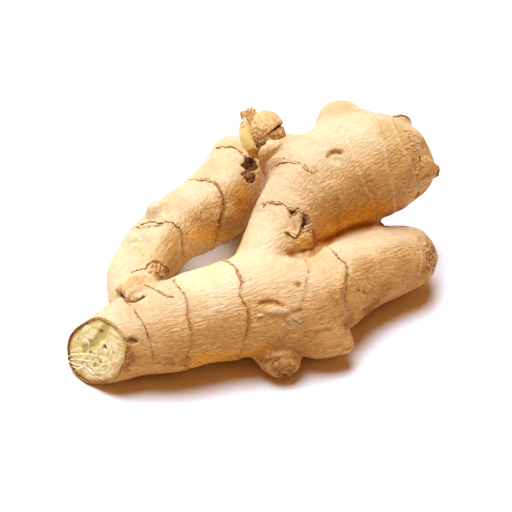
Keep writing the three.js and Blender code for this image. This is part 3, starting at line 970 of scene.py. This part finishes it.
# The threads over the flesh: the pixels that each runs through.
FIBRES = [
    [(67, 358), (71, 355), (77, 354), (87, 354), (95, 355), (101, 357)],
    [(67, 358), (70, 362), (79, 365), (88, 364), (94, 361)],
    [(81, 363), (83, 358), (86, 353), (90, 349), (94, 347)],
    [(97, 359), (94, 361), (92, 364), (93, 368), (96, 371), (100, 371)],
    [(101, 365), (106, 364), (112, 362), (118, 360)],
    [(113, 349), (111, 353), (110, 357), (113, 361)],
    [(84, 362), (86, 367), (90, 371), (95, 374)],
    [(75, 371), (79, 368), (84, 364), (90, 360)],
    [(72, 366), (76, 368), (81, 368), (86, 366)],
    [(71, 352), (75, 349), (80, 348), (84, 350)],
    [(88, 366), (95, 368), (101, 366), (104, 361), (101, 356)],
    [(93, 372), (99, 373), (106, 371), (110, 366)],
    [(104, 348), (106, 352), (104, 356), (100, 358)],
    [(70, 360), (75, 359), (82, 360), (90, 361), (98, 362)],
    [(80, 357), (85, 360), (91, 366), (99, 369), (107, 368)],
    [(86, 340), (89, 344), (88, 349)],
]


def fibres():
    """Pale threads that the knife drew out of the flesh, curling over its face."""
    curve = bpy.data.curves.new("fibres", "CURVE")
    curve.dimensions, curve.resolution_u = "3D", 5
    curve.bevel_depth, curve.bevel_resolution, curve.use_fill_caps = 0.15 * MM, 2, True
    for index, pixels in enumerate(FIBRES):
        spline = curve.splines.new("BEZIER")
        spline.bezier_points.add(len(pixels) - 1)
        height = DRAW.uniform(0.5, 1.5)
        for k, (knot, pixel) in enumerate(zip(spline.bezier_points, pixels)):
            share = k / (len(pixels) - 1)
            knot.co = on_cut(*pixel, 0.1 + height * math.sin(math.pi * share * 0.85)) * MM
            knot.radius = 1.25 - 0.6 * share
            knot.handle_left_type = knot.handle_right_type = "AUTO"
    piece = link(curve, "fibres_curve")
    mesh = bpy.data.meshes.new_from_object(piece.evaluated_get(bpy.context.evaluated_depsgraph_get()))
    bpy.data.objects.remove(piece)
    mesh.name = "fibres"
    return dress(link(mesh, "fibres"), thread_finish())


def flesh_finish():
    """Moist pale yellow flesh with a greenish core, strings cut across as dots, and brown pits."""
    f = Finish("ginger_flesh", roughness=0.38, gloss=0.5)
    cloud, grain = f.noise(3.0, 4, 0.6), f.noise(0.5, 3, 0.6)
    pale = f.plus(f.times(f.value("raised"), 0.6), f.ramp(cloud, 0.3, 0.7, 0, 0.5))
    core = f.times(f.value("core"), f.ramp(cloud, 0.3, 0.6, 0.05, 0.35))
    strings = f.ramp(f.cells(1.15), 0.10, 0.2, 1, 0)
    colour = f.blend(f.ramp(pale, 0.30, 0.85), (0.72, 0.54, 0.20), (0.90, 0.77, 0.46))
    colour = f.blend(f.times(f.value("olive"), 0.8), colour, (0.60, 0.44, 0.09))
    colour = f.blend(core, colour, (0.60, 0.46, 0.15))
    colour = f.blend(f.times(strings, 0.35), colour, (0.66, 0.48, 0.16))
    colour = f.blend(f.ramp(f.value("pit"), 0.35, 0.9), colour, (0.40, 0.24, 0.06))
    colour = f.blend(f.ramp(f.value("edge"), 0.4, 1.4, 0.6, 0), colour, (0.56, 0.36, 0.12))
    f.paint(colour)
    f.bump(f.plus(f.times(grain, 0.12), f.times(f.noise(1.3, 3), 0.25)))
    f.glow_through(0.25, 2.5)
    return f.material


def thread_finish():
    f = Finish("fibre_thread", roughness=0.5, gloss=0.4)
    f.paint(f.blend(f.noise(2, 2), (0.90, 0.82, 0.56), (0.97, 0.92, 0.74)))
    f.glow_through(0.2, 1.0)
    return f.material


def husk_finish(name, light, dark, contrast=0.5):
    """Dry papery tissue with light and dark streaks and brown spots."""
    f = Finish(name, roughness=0.66, gloss=0.3)
    streak = f.noise(1.2, 4, 0.6, f.drawn(1.9, 4), 0.4)
    colour = f.blend(f.ramp(streak, 0.5 - contrast / 3, 0.5 + contrast / 3), dark, light)
    spot = f.ramp(f.noise(0.9, 3, 0.7), 0.58, 0.72)
    f.paint(f.blend(f.times(spot, 0.6), colour, BARK))
    f.bump(f.plus(f.times(streak, 0.35), f.times(f.noise(0.6, 3), 0.2)))
    f.glow_through(0.12, 1.5)
    return f.material


def shoot_finish():
    """The young shoot's smooth yellow skin, amber at its foot and husky at its cap."""
    f = Finish("shoot", roughness=0.5, gloss=0.35)
    cloud = f.ramp(f.noise(2, 3), 0.2, 0.8, -0.3, 0.3)
    foot = f.ramp(f.plus(f.value("foot"), cloud), 0.35, 0.65)
    cap = f.ramp(f.plus(f.value("cap"), cloud), 0.4, 0.55)
    husk = f.blend(f.ramp(f.noise(1.0, 4), 0.4, 0.6), (0.56, 0.31, 0.13), (0.86, 0.63, 0.34))
    colour = f.blend(f.noise(3.5, 3), (0.86, 0.62, 0.22), (0.92, 0.75, 0.36))
    colour = f.blend(foot, colour, (0.62, 0.33, 0.05))
    f.paint(f.blend(cap, colour, husk))
    ridges = f.noise(0.7, 3, 0.6, f.drawn(2.1, 4))
    f.bump(f.plus(f.times(ridges, 0.2), f.times(cap, 0.3)))
    f.glow_through(0.3, 2.0)
    return f.material


def thicken(piece, thickness, rounded=True):
    """Gives a sheet its thickness, and rounds it off."""
    wall = piece.modifiers.new("wall", "SOLIDIFY")
    wall.thickness, wall.offset = thickness * MM, 0
    if rounded:
        soft = piece.modifiers.new("soft", "SUBSURF")
        soft.levels = soft.render_levels = 1
    return applied(piece)


def sheet(name, columns, rows, place, closed=False):
    """A sheet from a grid, each point put by a function of its shares across and up. A closed one is a ring."""
    bm = bmesh.new()
    bmesh.ops.create_grid(bm, x_segments=columns, y_segments=rows, size=0.5)
    for vert in bm.verts:
        vert.co = Vector(place(vert.co.x + 0.5, vert.co.y + 0.5)) * MM
    if closed:
        bmesh.ops.remove_doubles(bm, verts=bm.verts, dist=1e-7)
        bmesh.ops.recalc_face_normals(bm, faces=bm.faces)
    return link(mesh_of(bm, name), name)


# The bud's foot, and its axes: the way it grows, towards the camera, and to the right.
BUD_FOOT = Vector((4.2, 20.15, 47.5))
BUD_WAY = Vector((-0.37, 0.6, 0.7)).normalized()
BUD_NEAR = (-FORWARD + BUD_WAY * FORWARD.dot(BUD_WAY)).normalized()
BUD_RIGHT = BUD_WAY.cross(BUD_NEAR)


def in_bud(right, near, height):
    """A point given along the bud's own axes."""
    return BUD_FOOT + BUD_RIGHT * right + BUD_NEAR * near + BUD_WAY * height


def bud_ball(name, middle, radii, lump, seed, bend=0.0):
    """A rounded lump of the bud, whose ends are bent sideways."""
    bm = bmesh.new()
    bmesh.ops.create_uvsphere(bm, u_segments=44, v_segments=32, radius=1)
    at = np.array([vert.co for vert in bm.verts]) * radii
    swell = 1 + lump * rough_noise(at, 3.0, seed, 3)
    for vert, point, s in zip(bm.verts, at, swell):
        x, y, z = point * s
        vert.co = in_bud(middle[0] + x + bend * (z / radii[2]) ** 2, middle[1] + y, middle[2] + z) * MM
    bmesh.ops.recalc_face_normals(bm, faces=bm.faces)
    return link(mesh_of(bm, name), name)


def bud_scale(name, middle, radii, turn, width, low, high, ragged, seed, thickness, slant=0.0):
    """A scale of the bud: part of a ball's shell, from low to high and width round it, with ragged edges."""
    def place(across, up):
        angle = turn + (across - 0.5) * width
        key = np.array([[across * 9, up * 9, seed]])
        edge = low + slant * math.sin(angle)
        rise = edge + (high - edge) * up
        if up < 0.02 or up > 0.98:
            rise += ragged * value_noise(key * [[4, 1, 1]], 3.1, seed)[0]
        if across < 0.02 or across > 0.98:
            angle += 0.16 * value_noise(key * [[1, 4, 1]], 3.1, seed + 1)[0]
        swell = 1 + 0.06 * rough_noise(key * 2, 3.0, seed + 2, 3)[0]
        reach = math.cos(rise) * swell
        right, near = radii[0] * reach * math.sin(angle), radii[1] * reach * math.cos(angle)
        return in_bud(middle[0] + right, middle[1] + near, middle[2] + radii[2] * math.sin(rise) * swell)
    return thicken(sheet(name, 26, 18, place), thickness)


def bud_leaf(name, turn, width, low, high, radius, lean, seed):
    """A papery remnant that stands up round the bud's tip and ends in a torn edge."""
    def place(across, up):
        key = np.array([[across * 5 + seed, up * 2, seed * 0.7]])
        torn = (up > 0.55) * 1.6 * rough_noise(key, 0.9, seed, 2)[0] * (up - 0.4)
        reach = radius + lean * up**2 + 0.35 * value_noise(key, 1.1, seed + 5)[0]
        stray = 0.12 * value_noise(key * [[0.2, 4, 1]], 1.0, seed + 7)[0]
        angle = turn + (across - 0.5) * width * (1 - 0.35 * up) + stray
        rise = low + (high - low) * up + torn
        return in_bud(reach * math.sin(angle) - 0.9, 0.9 * reach * math.cos(angle), rise)
    return thicken(sheet(name, 16, 14, place), 0.28)


# Crumbs: the pixel in their middle, the reach across and down in millimetres, how many, and their least and
# greatest size.
BUD_CRUMBS = {
    "bud_crumbs_right": ((276, 134), (4.0, 1.1), 50, (0.3, 0.7)),
    "bud_crumbs_left": ((263, 142), (3.4, 1.5), 60, (0.3, 0.8)),
    "bud_dome_flakes": ((258, 132), (4.0, 2.6), 46, (0.3, 0.8)),
}
BUD_LAYERS, BUD_LEAVES = 9, 8


def bud_heart():
    """The bud's brown inside, with its crumbling foot in front."""
    core = bud_ball("bud_core", (2.2, -0.3, 6.8), (7.3, 6.6, 8.4), 0.20, 301)
    dress(core, husk_finish("bud_tissue", (0.62, 0.36, 0.14), (0.22, 0.09, 0.03), 0.9))
    under = bud_scale("bud_under", (3.0, 0.7, 7.6), (6.8, 6.5, 7.6), turn=0.35, width=4.6, low=-0.95, high=0.10,
                      ragged=0.10, seed=305, thickness=0.6)
    crumbly = husk_finish("bud_crumbly", (0.93, 0.69, 0.37), (0.44, 0.20, 0.06), 0.9)
    dress(under, crumbly)
    under_tree = tree_of(under.data)
    for name in ("bud_crumbs_right", "bud_crumbs_left"):
        crumbs(name, under_tree, *BUD_CRUMBS[name], crumbly)


def bud_dome():
    """The cream dome over the bud's heart, flaking at its left."""
    dome = bud_scale("bud_dome", (3.3, 0.9, 9.3), (6.9, 6.9, 7.8), turn=0.45, width=4.4, low=-0.22, high=1.54,
                     ragged=0.10, seed=311, thickness=0.8, slant=0.25)
    cream = husk_finish("bud_cream", (0.88, 0.66, 0.37), (0.66, 0.39, 0.14), 0.9)
    dress(dome, cream)
    crumbs("bud_dome_flakes", tree_of(dome.data), *BUD_CRUMBS["bud_dome_flakes"], cream, sink=0.35)


def bud_layers():
    """Short overlapping scales that wind up round the bud's foot, and the broad outer scale behind it."""
    layered = husk_finish("bud_layer", (0.78, 0.50, 0.22), (0.32, 0.14, 0.04), 1.0)
    for index in range(BUD_LAYERS):
        low = 2.6 + 0.62 * index + DRAW.uniform(-0.4, 0.4)
        size = 6.9 + 0.5 * DRAW.random()
        layer = bud_scale("bud_layer_%d" % index, (2.6, 0.4, low), (size, size - 0.6, 3.2), turn=1.15 * index,
                          width=1.6, low=-0.14, high=0.32, ragged=0.25, seed=361 + 7 * index, thickness=0.4)
        dress(layer, layered)
    back = bud_scale("bud_back", (0.4, -0.9, 6.0), (7.8, 6.6, 10.6), turn=3.5, width=3.4, low=-0.45, high=1.0,
                     ragged=0.12, seed=317, thickness=0.7)
    dress(back, husk_finish("bud_outer", (0.74, 0.50, 0.24), SEAR, 0.6))


def bud_shoot():
    """The young yellow shoot at the bud's left."""
    shoot = bud_ball("bud_shoot", (-5.6, 1.6, 8.6), (3.0, 3.9, 9.4), 0.03, 323, bend=2.6)
    height = (points_of(shoot.data) - np.array(BUD_FOOT)) @ np.array(BUD_WAY)
    keep(shoot.data, "foot", 1 - fade(height, 2.0, 7.0))
    keep(shoot.data, "cap", fade(height, 12.5, 14.5))
    dress(shoot, shoot_finish())


def bud_tip():
    """Papery leaf ends round the bud's tip, lower at its right."""
    paper = husk_finish("bud_paper", (0.93, 0.67, 0.33), (0.45, 0.20, 0.05), 0.9)
    for index in range(BUD_LEAVES):
        turn = index * 0.8 + 0.2
        high = 20.4 - 2.4 * max(math.sin(turn), 0) + DRAW.uniform(-0.5, 0.7)
        lean = -0.5 - 0.5 * DRAW.random()
        leaf = bud_leaf("bud_tip_%d" % index, turn, width=1.35, low=12.0, high=high,
                        radius=3.7 + 0.5 * (index % 2), lean=lean, seed=341 + 3 * index)
        dress(leaf, paper)


def crumbs(name, tree, pixel, reach, count, size, finish, sink=0.2):
    """Crumbs of dead tissue scattered over the skin round a pixel."""
    at, normal = seen(tree, *pixel)
    right, down = picture_axes(normal)
    bm = bmesh.new()
    for _ in range(count):
        turn, away = DRAW.uniform(0, TURN), math.sqrt(DRAW.random())
        guess = at + right * reach[0] * away * math.cos(turn) + down * reach[1] * away * math.sin(turn)
        spot, way, _, _ = tree.find_nearest(Vector(guess) * MM)
        big = DRAW.uniform(*size)
        sides = [big * DRAW.uniform(*span) for span in ((0.7, 1.5), (0.6, 1.0), (0.25, 0.6))]
        turned = way.to_track_quat("Z", "Y").to_matrix().to_4x4()
        turned = turned @ Matrix.Rotation(DRAW.uniform(0, TURN), 4, "Z")
        turned = turned @ Matrix.Rotation(DRAW.uniform(-0.5, 0.5), 4, "X")
        place = Matrix.Translation(spot + way * big * (0.3 - sink) * MM) @ turned @ Matrix.Diagonal((*sides, 1))
        for vert in bmesh.ops.create_icosphere(bm, subdivisions=2, radius=MM)["verts"]:
            vert.co *= 1 + DRAW.uniform(-0.22, 0.22)
            vert.co = place @ vert.co
    return dress(link(mesh_of(bm, name), name), finish)


def skin_point(tree, limb, along, angle):
    """The skin's point and normal at a length along a limb and an angle round it, or None inside another."""
    centre, _, side, up = limb.axes(np.array([along]))
    way = Vector(side[0] * math.sin(angle) + up[0] * math.cos(angle))
    at, normal, _, far = tree.ray_cast(Vector(centre[0]) * MM, way)
    radius = np.interp(along, limb.length, limb.girth)
    if at is None or far / MM > radius * 1.3 + 2.0:
        return None, None
    return at / MM, normal


def onto_scar(tree, scar, angle, stray):
    """The skin's point and normal on a scar at an angle, or None under another limb, and its length along."""
    along = float(scar.at(angle))
    for _ in range(3):
        at, normal = skin_point(tree, scar.limb, along, angle)
        if at is None:
            return None, None, along
        spot = np.array([tuple(at)])
        _, real = scar.limb.measure(spot)
        seat = scar.limb.angle(spot, real)
        along += float((scar.at(seat) + scar.wander(seat) + stray - real)[0])
    return at, normal, along


def scar_flakes(tree, scars):
    """Short torn flakes of leaf sheath that stand along the darker scars."""
    bm = bmesh.new()
    dark_scars = [scar for scar in scars if scar.dark > PALE_SCAR]
    for scar in [scar for scar in dark_scars for _ in range(int(70 * scar.dark))]:
        angle = DRAW.uniform(-math.pi, math.pi)
        if DRAW.random() > scar.worn(angle):
            continue
        at, normal, along = onto_scar(tree, scar, angle, DRAW.gauss(0.05, 0.15))
        if at is None or at.z < 0.8:
            continue
        size = DRAW.uniform(0.25, 0.8) * (0.6 + 0.5 * scar.dark)
        onward = Vector(scar.limb.axes(np.array([along]))[1][0])
        side = normal.cross(onward).normalized()
        onward = side.cross(normal)
        tilt = DRAW.uniform(0.15, 0.6)
        axes = [side * DRAW.uniform(0.5, 1.3) * size, (onward + normal * tilt) * DRAW.uniform(0.4, 0.9) * size,
                (normal - onward * tilt) * 0.14]
        place = Matrix([[*row, 0] for row in zip(*axes)] + [[0, 0, 0, 1]])
        place = Matrix.Translation((at + normal * 0.12 * size) * MM) @ place
        for vert in bmesh.ops.create_icosphere(bm, subdivisions=2, radius=MM)["verts"]:
            vert.co = place @ (vert.co * DRAW.uniform(0.75, 1.2))
    piece = link(mesh_of(bm, "scar_flakes"), "scar_flakes")
    return dress(piece, husk_finish("sheath_flake", (0.68, 0.43, 0.19), (0.38, 0.19, 0.065), 0.8))


# Loose pieces of skin: the pixels of their corners, in order.
FLAPS = {
    "neck_flap": [(286, 232), (297, 237), (303, 218), (292, 217)],
    "green_chip": [(283.5, 231), (295, 238.5), (297.5, 235), (286.5, 228.5)],
    "pale_chip": [(256, 317), (264, 314.5), (263, 313), (257, 315)],
    "dead_skin": [(242, 177), (251, 183), (255, 175), (245, 171)],
}


def flap(name, tree, raise_by, finish, ragged, thickness):
    """A loose piece of skin over its four pixels. A function of its shares across and up gives its height."""
    low_left, low_right, high_right, high_left = (np.array(corner, float) for corner in FLAPS[name])

    def place(across, up):
        low = low_left * (1 - across) + low_right * across
        high = high_left * (1 - across) + high_right * across
        pixel = low * (1 - up) + high * up
        if min(across, up, 1 - across, 1 - up) < 0.01:
            key = pixel[None, [0, 1, 1]]
            pixel = pixel + ragged * 2.5 * np.array([value_noise(key, 2.1, seed)[0] for seed in (451, 452)])
        at, normal = seen(tree, *pixel)
        return at + normal * (raise_by(across, up) + 0.12 * value_noise(pixel[None, [0, 1, 1]], 1.7, 453)[0])
    return dress(thicken(sheet(name, 18, 14, place), thickness), finish)


# Torn edges of skin that stand up: the pixels that each runs through, its width in millimetres, and the share
# of it that is left.
EDGES = [
    ([(263, 207), (267, 202), (272, 201), (277, 204), (282, 203), (286, 206), (291, 210), (299, 207)],
     0.9, 0.9),
    ([(299, 207), (297, 212), (293, 216), (290, 217), (288, 212)], 0.8, 1.0),
    ([(303, 211), (308, 216), (309, 221), (306, 226), (302, 230), (299, 236)], 0.9, 1.0),
    ([(311, 226), (313, 232), (311, 238)], 0.7, 0.7),
    ([(209, 261), (215, 259), (221, 260), (226, 261), (232, 264), (236, 269), (238, 275), (241, 281)],
     0.6, 0.8),
    ([(239, 290), (242, 299), (247, 307), (248, 315), (247, 326)], 0.5, 0.6),
    ([(177, 286), (184, 293), (188, 303), (186, 315), (190, 324), (192, 334)], 0.5, 0.7),
    ([(332, 251), (338, 257), (346, 263), (347, 270), (345, 277), (343, 287), (342, 298)], 0.8, 0.8),
    ([(141, 225), (148, 222), (155, 221), (160, 223), (167, 221), (174, 224), (179, 228), (181, 235)],
     0.6, 0.85),
    ([(196, 180), (204, 180), (211, 181), (217, 185), (221, 191), (224, 200), (222, 208), (219, 220)],
     0.7, 0.9),
    ([(217, 148), (225, 147), (231, 147), (237, 149), (242, 154), (248, 159)], 0.6, 0.8),
    ([(121, 297), (127, 300), (134, 301), (140, 299), (144, 294)], 1.3, 1.0),
    ([(146, 264), (151, 262), (156, 261), (162, 265), (168, 268), (169, 273)], 0.8, 0.8),
    ([(262, 360), (268, 354), (274, 348), (280, 341), (287, 332)], 0.6, 0.7),
    ([(295, 341), (303, 340), (311, 334), (319, 329), (329, 326)], 0.5, 0.6),
    ([(271, 168), (280, 162), (290, 162), (302, 166), (312, 173)], 0.5, 0.6),
    ([(305, 260), (309, 267), (308, 275), (306, 282)], 0.5, 0.4),
    ([(126, 302), (133, 308), (139, 317), (145, 326), (149, 338)], 0.5, 0.6),
    ([(283, 318), (288, 321), (293, 319), (299, 322), (303, 320)], 0.6, 0.8),
    ([(394, 116), (400, 115), (406, 116), (411, 119), (415, 123)], 1.6, 1.0),
    ([(120, 340), (127, 343), (131, 349), (134, 357), (131, 364), (125, 371)], 1.5, 1.0),
    ([(119, 349), (123, 355), (124, 362), (120, 369)], 1.0, 0.9),
    ([(145, 284), (152, 288), (160, 291), (167, 296), (174, 297)], 0.8, 0.9),
    ([(131, 273), (138, 270), (145, 268), (150, 262)], 0.8, 0.9),
    ([(243, 174), (248, 172), (253, 174), (253, 180), (248, 183)], 1.2, 1.0),
    ([(427, 246), (432, 250), (437, 249), (440, 253)], 0.7, 0.8),
]


def torn_ribs(tree, pixels, width, left, seed):
    """The cross lines of a torn edge, each of three points, or None where the edge has worn away."""
    course = np.array(pixels, float)
    run = np.r_[0, np.cumsum(np.linalg.norm(np.diff(course, axis=0), axis=1))]
    steps = int(run[-1] / 0.6)
    ribs = []
    for k in range(steps + 1):
        far = run[-1] * k / steps
        pixel, ahead = (np.array([np.interp(s, run, course[:, j]) for j in (0, 1)]) for s in (far, far + 1))
        key = np.array([[*pixel, seed]])
        stray = 0.9 * np.array([value_noise(key, 2.6, seed)[0], value_noise(key, 2.6, seed + 1)[0]])
        at, normal = seen(tree, *(pixel + stray))
        onward, _ = seen(tree, *(ahead + stray))
        worn = value_noise(key, 3.3, seed + 2)[0] > 2.2 * left - 1.1
        if at is None or onward is None or worn or not 0.05 < np.linalg.norm(onward - at) < 4:
            ribs.append(None)
            continue
        side = np.cross(onward - at, normal)
        side /= np.linalg.norm(side)
        wide = width * (0.75 + 0.45 * value_noise(key, 1.1, seed + 3)[0] + 0.25 * DRAW.uniform(-1, 1))
        rise = 0.22 + 0.2 * value_noise(key, 1.9, seed + 4)[0]
        ribs.append((at - side * 0.35 * wide - normal * 0.14, at + normal * rise * 0.6,
                     at + side * 0.65 * wide + normal * rise * 1.5))
    return ribs


def torn_edges(tree):
    """Ragged edges of skin that stand up along lines of pixels, with gaps where they have worn away."""
    bm = bmesh.new()
    for index, (pixels, width, left) in enumerate(EDGES):
        ribs = torn_ribs(tree, pixels, width, left, 500 + 9 * index)
        steps = len(ribs) - 1
        gone = []
        for vert in bmesh.ops.create_grid(bm, x_segments=steps, y_segments=2, size=0.5)["verts"]:
            column, row = round((vert.co.x + 0.5) * steps), round((vert.co.y + 0.5) * 2)
            if ribs[column] is None:
                gone.append(vert)
            else:
                vert.co = Vector(ribs[column][row]) * MM
        bmesh.ops.delete(bm, geom=gone, context="VERTS")
    bmesh.ops.delete(bm, geom=[vert for vert in bm.verts if not vert.link_faces], context="VERTS")
    piece = thicken(link(mesh_of(bm, "torn_edges"), "torn_edges"), 0.14, rounded=False)
    return dress(piece, husk_finish("torn_edge", (0.72, 0.46, 0.21), (0.33, 0.15, 0.05), 1.0))


# The crumbs on the skin, given as the bud's are.
SKIN_CRUMBS = {
    "crumbs_ear": ((133, 298), (4.5, 1.0), 12, (0.3, 0.7)),
    "crumbs_joint": ((158, 270), (5.0, 3.4), 34, (0.3, 0.8)),
    "crumbs_neck": ((308, 231), (2.6, 3.0), 26, (0.3, 0.8)),
    "crumbs_body": ((292, 324), (4.4, 2.8), 18, (0.2, 0.55)),
    "crumbs_lobe_end": ((414, 150), (4.5, 11.0), 60, (0.3, 0.7)),
    "crumbs_tip": ((430, 262), (3.0, 7.0), 30, (0.3, 0.6)),
}


def torn_pieces(tree):
    """The flaps, chips, torn edges and crumbs that stand on the skin."""
    skin_like = husk_finish("torn_skin", (0.84, 0.60, 0.33), (0.60, 0.35, 0.14), 0.8)
    pale_like = husk_finish("pale_chip", (0.84, 0.68, 0.38), (0.70, 0.50, 0.24), 0.5)
    green_like = husk_finish("green_chip", (0.82, 0.70, 0.30), (0.58, 0.50, 0.12), 0.6)
    dark_like = husk_finish("dead_tissue", SEAR, (0.15, 0.06, 0.02), 0.8)
    flap("neck_flap", tree, lambda across, up: 0.35 + 0.9 * (1 - up) ** 2, skin_like, 0.25, 0.35)
    flap("green_chip", tree, lambda across, up: 0.6 + 0.3 * math.sin(math.pi * across), green_like, 0.1, 0.4)
    flap("pale_chip", tree, lambda across, up: 0.4 + 0.4 * across, pale_like, 0.1, 0.4)
    flap("dead_skin", tree, lambda across, up: 0.2 + 0.5 * across * up, dark_like, 0.7, 0.3)
    torn_edges(tree)
    for name, spec in SKIN_CRUMBS.items():
        crumbs(name, tree, *spec, pale_like if name == "crumbs_body" else skin_like)


camera()
skin = grown_skin()
bare_tree = tree_of(skin.data)
scars = [Scar(bare_tree, *spec) for spec in SCARS]
relieve(skin, bare_tree, scars)
flesh_outline = cut_skin(skin)
skin_tree = tree_of(skin.data)
dress(skin, skin_finish())
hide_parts("rhizome")
cut_face(flesh_outline)
cut_lip(flesh_outline)
fibres()
bud_heart()
bud_dome()
bud_layers()
bud_shoot()
bud_tip()
scar_flakes(skin_tree, scars)
torn_pieces(skin_tree)
table()
lights()
